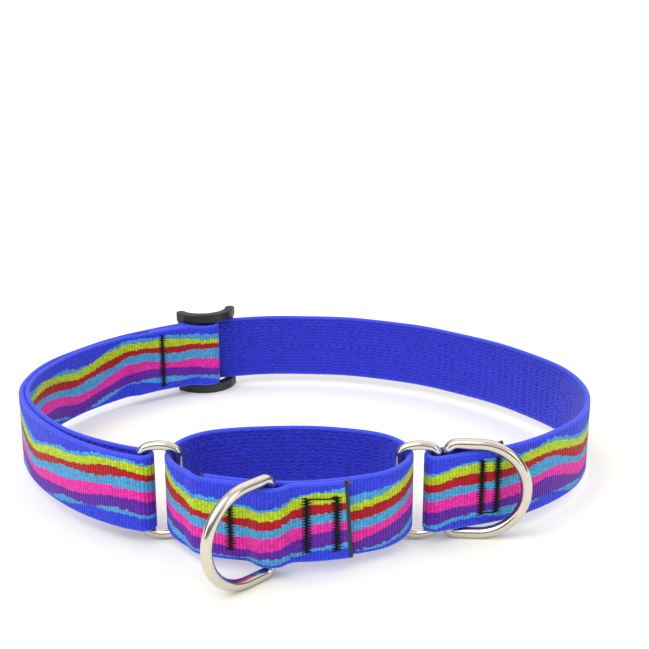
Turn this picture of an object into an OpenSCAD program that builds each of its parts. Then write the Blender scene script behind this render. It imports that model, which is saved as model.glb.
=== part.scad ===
// Martingale collar: a webbing neck strap whose two ends are folded round two wire rings,
// a smaller control loop threaded through both rings, a leash D-ring on the control loop,
// a tag D-ring on the neck strap and a bowed three-bar slider that sets the neck size.
// +Z is up, -Y is the front (the leash side). All lengths are in millimetres.

/* [Webbing] */
// Width of the webbing
web_w = 25.4; // [24.8:0.1:25.6]
// Thickness of the webbing
web_t = 1.8; // [1.6:0.1:1.8]
// Height of the webbing's lower edge above the ground
web_z = 4.05; // [3.95:0.05:4.15]
// Gap left between two plies that are sewn together
ply_gap = 0.15; // [0.1:0.05:0.2]
// Clear gap between two nodes that move apart
seam = 0.3; // [0.3:0.1:0.5]

/* [Neck strap] */
// Leftmost point of the strap's centre line, X and Y
left_tip = [-98.5, 11.8]; // [-100:0.1:100]
// Rightmost point of the strap's centre line, X and Y
right_tip = [98.5, 6.8]; // [-100:0.1:100]
// Direction in which the strap leaves the left ring
left_heading = 160; // [158:0.5:162]
// Direction in which the strap leaves the right ring
right_heading = 20; // [18:0.5:22]
// Turn of the first arc after the left ring
left_turn = 13; // [12:0.5:14]
// Radius of the first arc after the left ring
left_turn_r = 34; // [32:0.5:36]
// Turn of the second arc after the left ring
left_sweep = 35; // [33:0.5:37]
// Turn of the first arc after the right ring
right_sweep = 34; // [32:0.5:36]
// Turns of the four arcs round the back, left to right
back_turns = [28, 68, 54, 30]; // [20:1:70]
// Radius of the back's first arc
back_first_r = 56; // [54:0.5:58]
// Radius of the back's last arc
back_last_r = 50; // [48:0.5:52]

/* [Martingale rings] */
// Line on which both rings stand
ring_line_y = -49.8; // [-50:0.1:-49]
// Centre of the left ring
ring_left_x = -43.15; // [-44:0.05:-43]
// Centre of the right ring
ring_right_x = 36.45; // [36:0.05:37]
// Wire diameter of the rings
ring_wire = 3; // [2.8:0.1:3]
// Outer height of the rings
ring_h = 33; // [33:0.1:33.4]
// Corner radius of the rings, at the wire's centre
ring_corner = 3; // [2.6:0.1:3]
// Radius of the shallow arch across the top and bottom of the rings
ring_arch = 11; // [11:0.5:14]
// Gap between the two webbing folds that share a ring
ring_gap = 3.2; // [3:0.1:3.6]

/* [D-rings] */
// Wire diameter of the D-rings
dee_wire = 3.5; // [3.3:0.1:3.5]
// Outer height of the D-rings
dee_h = 33.5; // [33.3:0.1:33.5]
// Corner radius of the D-rings, at the wire's centre
dee_corner = 3; // [2.5:0.1:3]
// Distance from the straight bar to the centre of the bow
dee_reach = 9.5; // [9:0.1:11]
// Direction of the leash D-ring at rest
leash_dee_turn = 225; // [215:1:240]
// Direction of the tag D-ring at rest
tag_dee_turn = -4; // [-10:1:-4]

/* [Control loop] */
// Angle at which the front ply leaves a ring
front_tip = 80; // [78:1:82]
// Turn of the front corners
front_corner_turn = 58; // [56:1:60]
// Radius of the front corners
front_corner_r = 20; // [19:0.5:21]
// Angle at which the back ply leaves a ring
back_tip = 88; // [86:1:89]
// Turn of the back corners
back_corner_turn = 70; // [68:1:72]
// Radius of the back corners
back_corner_r = 19; // [18:0.5:20]
// Leash D-ring's place along the front, from the loop's middle
leash_dee_u = -4.55; // [-5:0.05:-4]
// Half length of the tunnel that holds the leash D-ring
tunnel_half = 8.5; // [8:0.1:9]
// Place of the outer ply's cut end, from the loop's middle
cut_end_u = 17.95; // [17:0.05:19]

/* [Slider] */
// Direction of the strap at the slider
slider_heading = 20.5; // [18:0.1:22]
// Half the spacing of the slider's outer bars
slider_half = 10.2; // [10:0.1:11]
// Radius of the outer bars
outer_bar_r = 1.5; // [1.4:0.1:1.5]
// Radius of the centre bar
centre_bar_r = 1.25; // [1.1:0.05:1.25]
// Height of the slider
slider_h = 33.5; // [33.3:0.1:33.5]
// Radial width of the slider's bowed rails
rail_w = 3.4; // [3:0.1:3.6]
// Radius of the bosses at the rails' ends
boss_r = 2; // [1.8:0.1:2.2]
// Length of the sewn tail behind the slider
tail_len = 28; // [27:0.5:29]

/* [Stitching] */
// Height that the thread stands proud of the webbing
thread_h = 0.45; // [0.3:0.05:0.5]
// Width of a zigzag bartack
tack_w = 2.2; // [1.8:0.1:2.4]
// Pitch of the zigzag
tack_pitch = 1.7; // [1.5:0.1:2.2]
// Width of the zigzag's thread, side to side
thread_w = 0.9; // [0.7:0.05:1]

/* [Hidden] */
$fn = 96;

NYLON = "royalblue";
STEEL = "silver";
THREAD = "black";
PLASTIC = "dimgray";

// A pose is [x, y, heading]. A segment is [radius, turn], positive to the right,
// or [length, 0] for a straight stretch.
function step(s, g) = g[1] == 0
    ? [s[0] + g[0] * cos(s[2]), s[1] + g[0] * sin(s[2]), s[2]]
    : [s[0] + g[0] * (sin(s[2]) - sin(s[2] - g[1])),
       s[1] + g[0] * (cos(s[2] - g[1]) - cos(s[2])),
       s[2] - g[1]];
function along(s, segs, n) = n == 0 ? s : step(along(s, segs, n - 1), segs[n - 1]);
function end_of(s, segs) = along(s, segs, len(segs));
// The same pose moved sideways, positive to the left.
function beside(s, d) = [s[0] - d * sin(s[2]), s[1] + d * cos(s[2]), s[2]];
function reversed(s) = [s[0], s[1], s[2] + 180];
// A segment of a given length and curvature, positive to the right.
function bend(length, k) = [1 / k, length * k * 180 / PI];
// Radius and turn of each half of a jog that moves h sideways over a length l.
function jog(h, l) = [l / (2 * sin(2 * atan(h / l))), 2 * atan(h / l)];
// Two arcs with the given turns that lead from pose s to point q.
function two_arcs(s, a, b, q) =
    let (ax = sin(s[2]) - sin(s[2] - a), ay = cos(s[2] - a) - cos(s[2]),
         bx = sin(s[2] - a) - sin(s[2] - a - b), by = cos(s[2] - a - b) - cos(s[2] - a),
         dx = q[0] - s[0], dy = q[1] - s[1], det = ax * by - ay * bx)
    [[(dx * by - dy * bx) / det, a], [(ax * dy - ay * dx) / det, b]];

// Poses along a path, without its first one, and the same list walked backwards.
facet = 3;
function poses(s, segs) = [for (i = [0 : len(segs) - 1])
    let (g = segs[i], n = g[1] == 0 ? 1 : ceil(abs(g[1]) / facet), at = along(s, segs, i))
    for (k = [1 : n]) step(at, g[1] == 0 ? g : [g[0], g[1] * k / n])];
function backwards(p) = [for (i = [len(p) - 1 : -1 : 0]) reversed(p[i])];
// One edge of a ribbon, at a distance to the left of its poses.
function edge(p, d) = [for (s = p) let (q = beside(s, d)) [q[0], q[1]]];

ply = web_t + ply_gap;
mid_z = web_z + web_w / 2;

// Folds round the rings. The loop fold and the strap fold stand either side of a ring's middle.
fold_in = ring_wire / 2 + 0.6;
fold_r = fold_in + web_t / 2;
fold_x = ring_gap / 2 + web_t + fold_in;
bar_x = fold_x + 0.2;

// Left front of the neck strap, from the ring to the leftmost point.
left_fold = [ring_left_x - fold_x, ring_line_y, left_heading];
left_outer_start = beside(left_fold, fold_r);
left_lead = [[3, 0], [left_turn_r, left_turn]];
left_outer = concat(left_lead, two_arcs(end_of(left_outer_start, left_lead), left_sweep,
    left_heading - 90 - left_turn - left_sweep, left_tip));
left_inner_start = beside(left_fold, -fold_r);
left_inner_turn = 12;
left_join = beside(along(left_outer_start, left_outer, 3), -ply);
left_inner = concat([[3, 0]], two_arcs(end_of(left_inner_start, [[3, 0]]), left_inner_turn,
    left_turn + left_sweep - left_inner_turn, left_join),
    [[left_outer[3][0] - ply, left_outer[3][1]]]);

// Right front of the neck strap, from the ring to the rightmost point.
right_fold = [ring_right_x + fold_x, ring_line_y, right_heading];
right_outer_start = beside(right_fold, -fold_r);
right_lead_len = 15;
right_lead = [[right_lead_len, 0]];
right_outer = concat(right_lead, two_arcs(end_of(right_outer_start, right_lead), -right_sweep,
    right_heading + right_sweep - 90, right_tip));
tail_straight = 6.2;
tail_jog = jog(2 * fold_r - ply, right_lead_len - tail_straight);
right_inner_start = beside(right_fold, fold_r);
right_inner = [[tail_straight, 0], tail_jog, -tail_jog];
right_tail_turn = 7;
right_tail = [[right_outer[1][0] + ply, -right_tail_turn]];

// Back of the neck strap, clockwise from the leftmost to the rightmost point.
back_start = [left_tip[0], left_tip[1], 90];
back_first = [[back_first_r, back_turns[0]]];
back_last = [back_last_r, back_turns[3]];
last_run = step([0, 0, back_turns[3] - 90], back_last);
back = concat(back_first, two_arcs(end_of(back_start, back_first), back_turns[1], back_turns[2],
    [right_tip[0] - last_run[0], right_tip[1] - last_run[1]]), [back_last]);

// The slider travels along the back's second arc, about this centre.
arc_r = back[1][0];
arc_start = end_of(back_start, back_first);
arc_centre = [arc_start[0] + arc_r * sin(arc_start[2]), arc_start[1] - arc_r * cos(arc_start[2])];
// A pose on that arc at a given heading, moved inward by d.
function on_arc(heading, d) = [arc_centre[0] - (arc_r - d) * sin(heading),
    arc_centre[1] + (arc_r - d) * cos(heading), heading];
function arc_turn(length, d) = length / (arc_r - d) * 180 / PI;

// Sewn webbing end on the slider: the tail lies between the strap and the inner ply.
bar_d = ply + web_t / 2 + seam + centre_bar_r;
sewn_fold_r = centre_bar_r + seam + web_t / 2;
bar_side_d = bar_d + sewn_fold_r;
first_jog_len = 9;
first_jog = jog(bar_side_d - 2 * ply, first_jog_len);
second_jog_len = 7;
second_jog = jog(ply, second_jog_len);
function jog_halves(j, k) = [bend(j[0] * j[1] * PI / 180, 1 / j[0] - k),
    bend(j[0] * j[1] * PI / 180, -1 / j[0] - k)];
sewn_cover = tail_len + 1 - first_jog_len;
sewn_lead_out = 3;
sewn_path = concat(jog_halves(first_jog, 1 / (arc_r - (bar_side_d + 2 * ply) / 2)),
    [[-(arc_r - 2 * ply), -arc_turn(sewn_cover, 2 * ply)]],
    jog_halves(second_jog, 1 / (arc_r - 1.5 * ply)),
    [[-(arc_r - ply), -arc_turn(sewn_lead_out, ply)]]);
sewn_start = reversed(on_arc(slider_heading, bar_side_d));
sewn_end_heading = end_of(sewn_start, sewn_path)[2] - 180;

// Control loop, counter-clockwise: front ply, right ring, back ply, left ring.
loop_mid_x = (ring_left_x + ring_right_x) / 2;
loop_half = (ring_right_x - ring_left_x) / 2 - fold_x;
function flat_r(tip, turn, r) = (loop_half + fold_r * sin(tip) - r * (sin(tip) - sin(tip - turn)))
    / sin(tip - turn);
function lens(tip, turn, r) =
    [[-r, -turn], [-flat_r(tip, turn, r), -2 * (tip - turn)], [-r, -turn]];
tip_wrap = [[-fold_r, -(180 - front_tip - back_tip)]];
front_start = beside([loop_mid_x - loop_half, ring_line_y, -front_tip], -fold_r);
front = lens(front_tip, front_corner_turn, front_corner_r);
back_lens = lens(back_tip, back_corner_turn, back_corner_r);
flat_start = along(front_start, front, 1);
front_flat_r = flat_r(front_tip, front_corner_turn, front_corner_r);
front_flat_turn = front_tip - front_corner_turn;
// The outer ply steps out by one ply in the last stretch of the left corner.
step_run = 8;
step_out = jog(ply, step_run);
step_len = step_out[0] * step_out[1] * PI / 180;
step_k = step_run / (front_corner_r + ply / 2) / (2 * step_len);
corner_rest = front_corner_turn - 2 * step_len * step_k * 180 / PI;
left_corner = concat([[-front_corner_r, -corner_rest]], jog_halves(step_out, step_k));
// The outer ply runs one ply outside the flat, and bulges over the leash D-ring's bar.
outer_r = front_flat_r + ply;
bulge_h = dee_wire + 2 * seam + web_t - ply;
bulge = jog(bulge_h, tunnel_half);
bulge_len = bulge[0] * bulge[1] * PI / 180;
bulge_k = 2 * tunnel_half / outer_r / (4 * bulge_len);
bulge_path = [bend(bulge_len, 1 / bulge[0] - bulge_k), bend(2 * bulge_len, -1 / bulge[0] - bulge_k),
    bend(bulge_len, 1 / bulge[0] - bulge_k)];
// Heading of the front flat at a distance u from its middle.
function flat_heading(u) = asin(u / front_flat_r);
function on_flat(u, d) = let (h = flat_heading(u))
    beside([loop_mid_x + front_flat_r * sin(h),
        flat_start[1] + front_flat_r * (cos(front_flat_turn) - cos(h)), h], -d);
function flat_run(u1, u2, d) = [[-(front_flat_r + d), -(flat_heading(u2) - flat_heading(u1))]];
leash_dee_at = on_flat(leash_dee_u, web_t / 2 + seam + dee_wire / 2);

// Tag D-ring's bar, beside the ring's bar in the same fold.
tag_dee_s = 0.2 + (ring_wire + dee_wire) / 2 + seam + 0.1;
tag_dee_at = step(right_fold, [tag_dee_s, 0]);

// Bartacks: distance along the right lead, and places along the control loop's front.
tag_tack_s = [13.8, 19.2];
loop_tack_u = [-16.2, 5.4, 13.9];
slider_tack_len = 21.5;
tag_tack_z = [mid_z - 9, mid_z + 9.4];
loop_tack_z = [mid_z - 9.4, mid_z + 8.2];
slider_tack_z = [mid_z - 10.8, mid_z + 10.8];

// Ribbon that stands on edge and follows a list of poses.
module ribbon(p, width, height) {
    linear_extrude(height) polygon(concat(edge(p, width / 2), edge(backwards(p), width / 2)));
}
module webbing(p) {
    color(NYLON) translate([0, 0, web_z]) ribbon(p, web_t, web_w);
}
// Path that ends a little short, so that it stays clear of the webbing that it meets.
function short_of(segs) = [for (i = [0 : len(segs) - 1]) i < len(segs) - 1 ? segs[i]
    : [segs[i][0], segs[i][1] - seam / segs[i][0] * 180 / PI]];

// Round wire in the XZ plane.
module wire(at, length, direction, d) {
    translate([at[0], 0, at[1]]) rotate([0, direction, 0]) cylinder(h = length, d = d);
}
module wire_bend(at, r, start, turn, d) {
    translate([at[0], 0, at[1]]) rotate([90, 0, 0]) rotate([0, 0, start])
        rotate_extrude(angle = turn) translate([r, 0]) circle(d = d);
}
module martingale_ring(x) {
    arch_z = (ring_h - ring_wire) / 2 - ring_arch;
    corner_x = bar_x - ring_corner;
    half_arch = asin(corner_x / (ring_arch - ring_corner));
    corner_z = arch_z + (ring_arch - ring_corner) * cos(half_arch);
    corner_turn = 90 - half_arch;
    translate([x, ring_line_y, mid_z]) {
        for (side = [-1, 1]) {
            wire([side * bar_x, -corner_z], 2 * corner_z, 0, ring_wire);
            wire_bend([0, side * arch_z], ring_arch, side * 90 - half_arch, 2 * half_arch, ring_wire);
        }
        wire_bend([corner_x, corner_z], ring_corner, 0, corner_turn, ring_wire);
        wire_bend([-corner_x, corner_z], ring_corner, 180 - corner_turn, corner_turn, ring_wire);
        wire_bend([-corner_x, -corner_z], ring_corner, 180, corner_turn, ring_wire);
        wire_bend([corner_x, -corner_z], ring_corner, 360 - corner_turn, corner_turn, ring_wire);
    }
}
module dee(at, turn) {
    half_h = (dee_h - dee_wire) / 2;
    flat_z = half_h - dee_corner;
    translate([at[0], at[1], mid_z]) rotate([0, 0, turn]) {
        wire([0, -flat_z], 2 * flat_z, 0, dee_wire);
        for (side = [-1, 1])
            wire([dee_corner, side * half_h], dee_reach - dee_corner, 90, dee_wire);
        wire_bend([dee_corner, flat_z], dee_corner, 90, 90, dee_wire);
        wire_bend([dee_corner, -flat_z], dee_corner, 180, 90, dee_wire);
        wire_bend([dee_reach, 0], half_h, -90, 180, dee_wire);
    }
}

// Zigzag thread on both faces of a stack of plies. s lies on the outer ply's centre line, and
// side is the direction of the outer face: 1 to the left, -1 to the right.
module bartack(s, z, side, plies) {
    turns = 2 * round((z[1] - z[0]) / tack_pitch);
    rise = (z[1] - z[0]) / turns;
    swing = tack_w - thread_w;
    zigzag = [for (i = [0 : turns]) [(i % 2 - 0.5) * swing - thread_w / 2, z[0] + i * rise]];
    outline = concat(zigzag, [for (i = [turns : -1 : 0]) zigzag[i] + [thread_w, 0]]);
    faces = [web_t / 2, -(plies - 1) * ply - web_t / 2 - thread_h];
    translate([s[0], s[1], 0]) rotate([0, 0, s[2]])
        for (face = faces) translate([0, side * (face + thread_h / 2) + thread_h / 2, 0])
            rotate([90, 0, 0]) linear_extrude(thread_h) polygon(outline);
}
// Straight row of thread between two bartacks, on the outer face.
module thread_row(s1, s2, z, side) {
    run = norm([s2[0] - s1[0], s2[1] - s1[1]]) - tack_w - thread_w;
    heading = atan2(s2[1] - s1[1], s2[0] - s1[0]);
    translate([(s1[0] + s2[0]) / 2, (s1[1] + s2[1]) / 2, z]) rotate([0, 0, heading])
        translate([0, side * (web_t + thread_h) / 2, 0])
            cube([run, thread_h, thread_w], center = true);
}
function right_outer_at(d) = d <= right_lead_len ? step(right_outer_start, [d, 0])
    : step(end_of(right_outer_start, right_lead),
        [right_outer[1][0], (d - right_lead_len) / right_outer[1][0] * 180 / PI]);

module neck_strap() { webbing(concat([back_start], poses(back_start, back))); }
module inner_ply() {
    arc_part = arc_start[2] - sewn_end_heading - arc_turn(seam, ply);
    start = beside(back_start, -ply);
    webbing(concat([start],
        poses(start, [[back_first_r - ply, back_turns[0]], [arc_r - ply, arc_part]])));
}
module left_strap() {
    webbing(concat(backwards(poses(left_inner_start, short_of(left_inner))),
        [reversed(left_inner_start)], poses(reversed(left_inner_start), [[fold_r, 180]]),
        poses(left_outer_start, short_of(left_outer))));
}
module right_strap() {
    tail_start = beside(end_of(right_outer_start, right_lead), ply);
    webbing(concat(backwards(poses(tail_start, right_tail)),
        backwards(poses(right_inner_start, right_inner)),
        [reversed(right_inner_start)], poses(reversed(right_inner_start), [[-fold_r, -180]]),
        poses(right_outer_start, short_of(right_outer))));
}
module left_ring() { color(STEEL) martingale_ring(ring_left_x); }
module right_ring() { color(STEEL) martingale_ring(ring_right_x); }
module tag_dee() { color(STEEL) dee(tag_dee_at, tag_dee_turn); }
module leash_dee() { color(STEEL) dee(leash_dee_at, leash_dee_turn); }
module control_loop() {
    left_end = flat_heading(leash_dee_u) - (tunnel_half / outer_r) * 180 / PI;
    bulge_u = front_flat_r * sin(left_end);
    after_u = 2 * leash_dee_u - bulge_u;
    flat_first_u = -front_flat_r * sin(front_flat_turn);
    webbing(concat([flat_start], poses(flat_start, [front[1], front[2]]),
        poses(end_of(front_start, front), concat(tip_wrap, back_lens, tip_wrap)),
        poses(front_start, left_corner),
        poses(beside(flat_start, -ply), flat_run(flat_first_u, bulge_u, ply)),
        poses(on_flat(bulge_u, ply), bulge_path),
        poses(on_flat(after_u, ply), flat_run(after_u, cut_end_u, ply))));
}
module tag_bartack_1() { color(THREAD) bartack(right_outer_at(tag_tack_s[0]), tag_tack_z, -1, 2); }
module tag_bartack_2() { color(THREAD) bartack(right_outer_at(tag_tack_s[1]), tag_tack_z, -1, 2); }
module tag_bartack_link() {
    color(THREAD) thread_row(right_outer_at(tag_tack_s[0]), right_outer_at(tag_tack_s[1]),
        tag_tack_z[0] + 0.4, -1);
}
module loop_bartack_1() { color(THREAD) bartack(on_flat(loop_tack_u[0], ply), loop_tack_z, -1, 2); }
module loop_bartack_2() { color(THREAD) bartack(on_flat(loop_tack_u[1], ply), loop_tack_z, -1, 2); }
module loop_bartack_3() { color(THREAD) bartack(on_flat(loop_tack_u[2], ply), loop_tack_z, -1, 2); }
module loop_bartack_link() {
    color(THREAD) thread_row(on_flat(loop_tack_u[1], ply), on_flat(loop_tack_u[2], ply),
        loop_tack_z[1] - 0.4, -1);
}
module slider_frame() {
    sag = arc_r - sqrt(arc_r * arc_r - slider_half * slider_half);
    outer_y = web_t / 2 + seam + outer_bar_r - sag + 0.1;
    bow = outer_y + bar_d;
    rail_r = (slider_half * slider_half + bow * bow) / (2 * bow);
    rail_turn = asin(slider_half / rail_r);
    rail_h = (slider_h - web_w) / 2 - seam;
    rail_start = [-slider_half, outer_y, -rail_turn];
    at = on_arc(slider_heading, 0);
    color(PLASTIC) translate([at[0], at[1], mid_z - slider_h / 2]) rotate([0, 0, slider_heading]) {
        for (x = [-slider_half, slider_half]) translate([x, outer_y, 0]) {
            cylinder(h = slider_h, r = outer_bar_r);
            for (z = [0, slider_h - rail_h]) translate([0, 0, z]) cylinder(h = rail_h, r = boss_r);
        }
        translate([0, -bar_d, 0]) cylinder(h = slider_h, r = centre_bar_r);
        for (z = [0, slider_h - rail_h]) translate([0, 0, z])
            ribbon(concat([rail_start], poses(rail_start, [[-rail_r, -2 * rail_turn]])), rail_w, rail_h);
    }
}
module slider_webbing() {
    tail_start = reversed(on_arc(slider_heading, ply));
    webbing(concat(backwards(poses(tail_start, [[-(arc_r - ply), -arc_turn(tail_len, ply)]])),
        [reversed(tail_start)], poses(reversed(tail_start), [[sewn_fold_r, 180]]),
        poses(sewn_start, sewn_path)));
}
module slider_bartack() {
    heading = slider_heading + arc_turn(slider_tack_len, ply);
    color(THREAD) bartack(on_arc(heading, 2 * ply), slider_tack_z, -1, 1);
}

neck_strap();
inner_ply();
left_strap();
right_strap();
left_ring();
right_ring();
tag_dee();
tag_bartack_1();
tag_bartack_2();
tag_bartack_link();
control_loop();
leash_dee();
loop_bartack_1();
loop_bartack_2();
loop_bartack_3();
loop_bartack_link();
slider_frame();
slider_webbing();
slider_bartack();
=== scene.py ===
"""Martingale collar: webbing, wire rings, D-rings, slider and stitching round the CAD frame."""
from math import asin, atan, ceil, cos, degrees, pi, radians, sin, sqrt

import bpy
import numpy as np
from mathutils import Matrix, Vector


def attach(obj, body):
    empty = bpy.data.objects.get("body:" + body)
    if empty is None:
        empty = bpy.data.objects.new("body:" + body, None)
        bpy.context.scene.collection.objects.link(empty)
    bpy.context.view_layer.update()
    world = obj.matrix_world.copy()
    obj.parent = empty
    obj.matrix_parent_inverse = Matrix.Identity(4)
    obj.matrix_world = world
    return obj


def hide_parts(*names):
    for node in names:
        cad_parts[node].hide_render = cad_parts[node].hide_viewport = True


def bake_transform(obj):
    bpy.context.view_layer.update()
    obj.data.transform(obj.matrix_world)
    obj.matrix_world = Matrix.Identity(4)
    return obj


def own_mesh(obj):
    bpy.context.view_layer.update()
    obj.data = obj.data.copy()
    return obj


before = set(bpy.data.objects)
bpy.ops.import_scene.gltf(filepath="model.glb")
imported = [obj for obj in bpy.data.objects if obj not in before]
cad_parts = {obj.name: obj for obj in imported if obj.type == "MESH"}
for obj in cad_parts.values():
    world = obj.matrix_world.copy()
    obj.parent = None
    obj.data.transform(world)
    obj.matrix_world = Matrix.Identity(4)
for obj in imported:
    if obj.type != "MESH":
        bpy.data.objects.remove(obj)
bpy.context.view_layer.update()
rng = np.random.default_rng(7)

MM = 0.001

# Webbing and seams, in millimetres.
WEB_W = 25.4
WEB_T = 1.8
WEB_Z = 4.05
PLY = WEB_T + 0.15
SEAM = 0.3
MID_Z = WEB_Z + WEB_W / 2
RIB = 1.06

# Neck strap.
LEFT_TIP = (-98.5, 11.8)
RIGHT_TIP = (98.5, 6.8)
BACK_FIRST = (56, 28)
BACK_LAST = (50, 30)
BACK_MIDDLE_TURNS = (68, 54)

# Martingale rings.
RING_LINE_Y = -49.8
RING_LEFT_X = -43.15
RING_RIGHT_X = 36.45
RING_WIRE = 3.0
RING_H = 33.0
RING_CORNER = 3.0
RING_ARCH = 11.0
FOLD_IN = RING_WIRE / 2 + 0.6
FOLD_R = FOLD_IN + WEB_T / 2
FOLD_X = 1.6 + WEB_T + FOLD_IN
BAR_X = FOLD_X + 0.2

# D-rings.
DEE_WIRE = 3.5
DEE_H = 33.5
DEE_CORNER = 3.0
DEE_REACH = 9.5
LEASH_DEE_TURN = 225
TAG_DEE_TURN = -4

# Slider.
SLIDER_HEADING = 20.5
SLIDER_HALF = 10.2
SLIDER_H = 33.5
OUTER_BAR_R = 1.5
CENTRE_BAR_R = 1.25
RAIL_W = 3.4
BOSS_R = 2.0
TAIL_LEN = 28


# ---------------------------------------------------------------- paths
# A pose is (x, y, heading in degrees). A segment is (radius, turn), positive to the right,
# or (length, 0) for a straight stretch.
def sind(a):
    return sin(radians(a))


def cosd(a):
    return cos(radians(a))


def step(s, g):
    if g[1] == 0:
        return (s[0] + g[0] * cosd(s[2]), s[1] + g[0] * sind(s[2]), s[2])
    return (
        s[0] + g[0] * (sind(s[2]) - sind(s[2] - g[1])),
        s[1] + g[0] * (cosd(s[2] - g[1]) - cosd(s[2])),
        s[2] - g[1],
    )


def end_of(s, segs):
    for g in segs:
        s = step(s, g)
    return s


def beside(s, d):
    return (s[0] - d * sind(s[2]), s[1] + d * cosd(s[2]), s[2])


def reversed_pose(s):
    return (s[0], s[1], s[2] + 180)


def bend(length, k):
    return (1 / k, degrees(length * k))


def jog(h, length):
    turn = 2 * degrees(atan(h / length))
    return (length / (2 * sind(turn)), turn)


def jog_halves(j, k):
    length = j[0] * radians(j[1])
    return [bend(length, 1 / j[0] - k), bend(length, -1 / j[0] - k)]


def two_arcs(s, a, b, q):
    """Two arcs with the turns a and b that lead from pose s to point q."""
    ax, ay = sind(s[2]) - sind(s[2] - a), cosd(s[2] - a) - cosd(s[2])
    bx, by = sind(s[2] - a) - sind(s[2] - a - b), cosd(s[2] - a - b) - cosd(s[2] - a)
    dx, dy = q[0] - s[0], q[1] - s[1]
    det = ax * by - ay * bx
    return [((dx * by - dy * bx) / det, a), ((ax * dy - ay * dx) / det, b)]


def seg_length(g):
    return abs(g[0]) if g[1] == 0 else abs(g[0]) * radians(abs(g[1]))


def sample(s, segs, pitch):
    """Poses along a path, without the first, at most pitch apart."""
    out = []
    for g in segs:
        n = max(1, ceil(seg_length(g) / pitch))
        for i in range(1, n + 1):
            out.append(step(s, (g[0] * i / n, 0) if g[1] == 0 else (g[0], g[1] * i / n)))
        s = step(s, g)
    return out


def turned(segs):
    """The segments of a path walked backwards."""
    return [(g[0], 0) if g[1] == 0 else (-g[0], -g[1]) for g in reversed(segs)]


# Left front of the neck strap.
left_fold = (RING_LEFT_X - FOLD_X, RING_LINE_Y, 160)
left_outer_start = beside(left_fold, FOLD_R)
left_outer = [(3, 0), (34, 13)]
left_outer += two_arcs(end_of(left_outer_start, left_outer), 35, 160 - 90 - 13 - 35, LEFT_TIP)
left_inner_start = beside(left_fold, -FOLD_R)
left_join = beside(end_of(left_outer_start, left_outer[:3]), -PLY)
left_inner = [(3, 0)] + two_arcs(end_of(left_inner_start, [(3, 0)]), 12, 13 + 35 - 12, left_join)
left_inner += [(left_outer[3][0] - PLY, left_outer[3][1])]

# Right front of the neck strap.
right_fold = (RING_RIGHT_X + FOLD_X, RING_LINE_Y, 20)
right_outer_start = beside(right_fold, -FOLD_R)
RIGHT_LEAD = 15
right_outer = [(RIGHT_LEAD, 0)]
right_outer += two_arcs(end_of(right_outer_start, right_outer), -34, 20 + 34 - 90, RIGHT_TIP)
tail_jog = jog(2 * FOLD_R - PLY, RIGHT_LEAD - 6.2)
right_inner_start = beside(right_fold, FOLD_R)
right_inner = [(6.2, 0), tail_jog, (-tail_jog[0], -tail_jog[1]), (right_outer[1][0] + PLY, -7)]

# Back of the neck strap, clockwise from the leftmost to the rightmost point.
back_start = (LEFT_TIP[0], LEFT_TIP[1], 90)
last_run = step((0, 0, BACK_LAST[1] - 90), BACK_LAST)
back = [BACK_FIRST] + two_arcs(
    end_of(back_start, [BACK_FIRST]),
    *BACK_MIDDLE_TURNS,
    (RIGHT_TIP[0] - last_run[0], RIGHT_TIP[1] - last_run[1]),
) + [BACK_LAST]
arc_r = back[1][0]
arc_start = end_of(back_start, [BACK_FIRST])
arc_centre = (arc_start[0] + arc_r * sind(arc_start[2]), arc_start[1] - arc_r * cosd(arc_start[2]))


def on_arc(heading, d):
    r = arc_r - d
    return (arc_centre[0] - r * sind(heading), arc_centre[1] + r * cosd(heading), heading)


def arc_turn(length, d):
    return degrees(length / (arc_r - d))


# Webbing on the slider.
bar_d = PLY + WEB_T / 2 + SEAM + CENTRE_BAR_R
sewn_r = CENTRE_BAR_R + SEAM + WEB_T / 2
bar_side_d = bar_d + sewn_r
sewn_path = jog_halves(jog(bar_side_d - 2 * PLY, 9), 1 / (arc_r - (bar_side_d + 2 * PLY) / 2))
sewn_path += [(-(arc_r - 2 * PLY), -arc_turn(TAIL_LEN + 1 - 9, 2 * PLY))]
sewn_path += jog_halves(jog(PLY, 7), 1 / (arc_r - 1.5 * PLY))
sewn_path += [(-(arc_r - PLY), -arc_turn(3, PLY))]
sewn_start = reversed_pose(on_arc(SLIDER_HEADING, bar_side_d))
sewn_end_heading = end_of(sewn_start, sewn_path)[2] - 180

# Control loop.
loop_mid_x = (RING_LEFT_X + RING_RIGHT_X) / 2
loop_half = (RING_RIGHT_X - RING_LEFT_X) / 2 - FOLD_X
FRONT_TIP, FRONT_TURN, FRONT_R = 80, 58, 20
BACK_TIP, BACK_TURN, BACK_R = 88, 70, 19


def flat_r(tip, turn, r):
    return (loop_half + FOLD_R * sind(tip) - r * (sind(tip) - sind(tip - turn))) / sind(tip - turn)


def lens(tip, turn, r):
    return [(-r, -turn), (-flat_r(tip, turn, r), -2 * (tip - turn)), (-r, -turn)]


tip_wrap = [(-FOLD_R, -(180 - FRONT_TIP - BACK_TIP))]
front_start = beside((loop_mid_x - loop_half, RING_LINE_Y, -FRONT_TIP), -FOLD_R)
front = lens(FRONT_TIP, FRONT_TURN, FRONT_R)
flat_start = end_of(front_start, front[:1])
front_flat_r = flat_r(FRONT_TIP, FRONT_TURN, FRONT_R)
front_flat_turn = FRONT_TIP - FRONT_TURN
step_out = jog(PLY, 8)
step_len = step_out[0] * radians(step_out[1])
step_k = 8 / (FRONT_R + PLY / 2) / (2 * step_len)
left_corner = [(-FRONT_R, -(FRONT_TURN - 2 * degrees(step_len * step_k)))]
left_corner += jog_halves(step_out, step_k)
TUNNEL_HALF = 8.5
LEASH_DEE_U = -4.55
CUT_END_U = 17.95
outer_r = front_flat_r + PLY
bulge = jog(DEE_WIRE + 2 * SEAM + WEB_T - PLY, TUNNEL_HALF)
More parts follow.
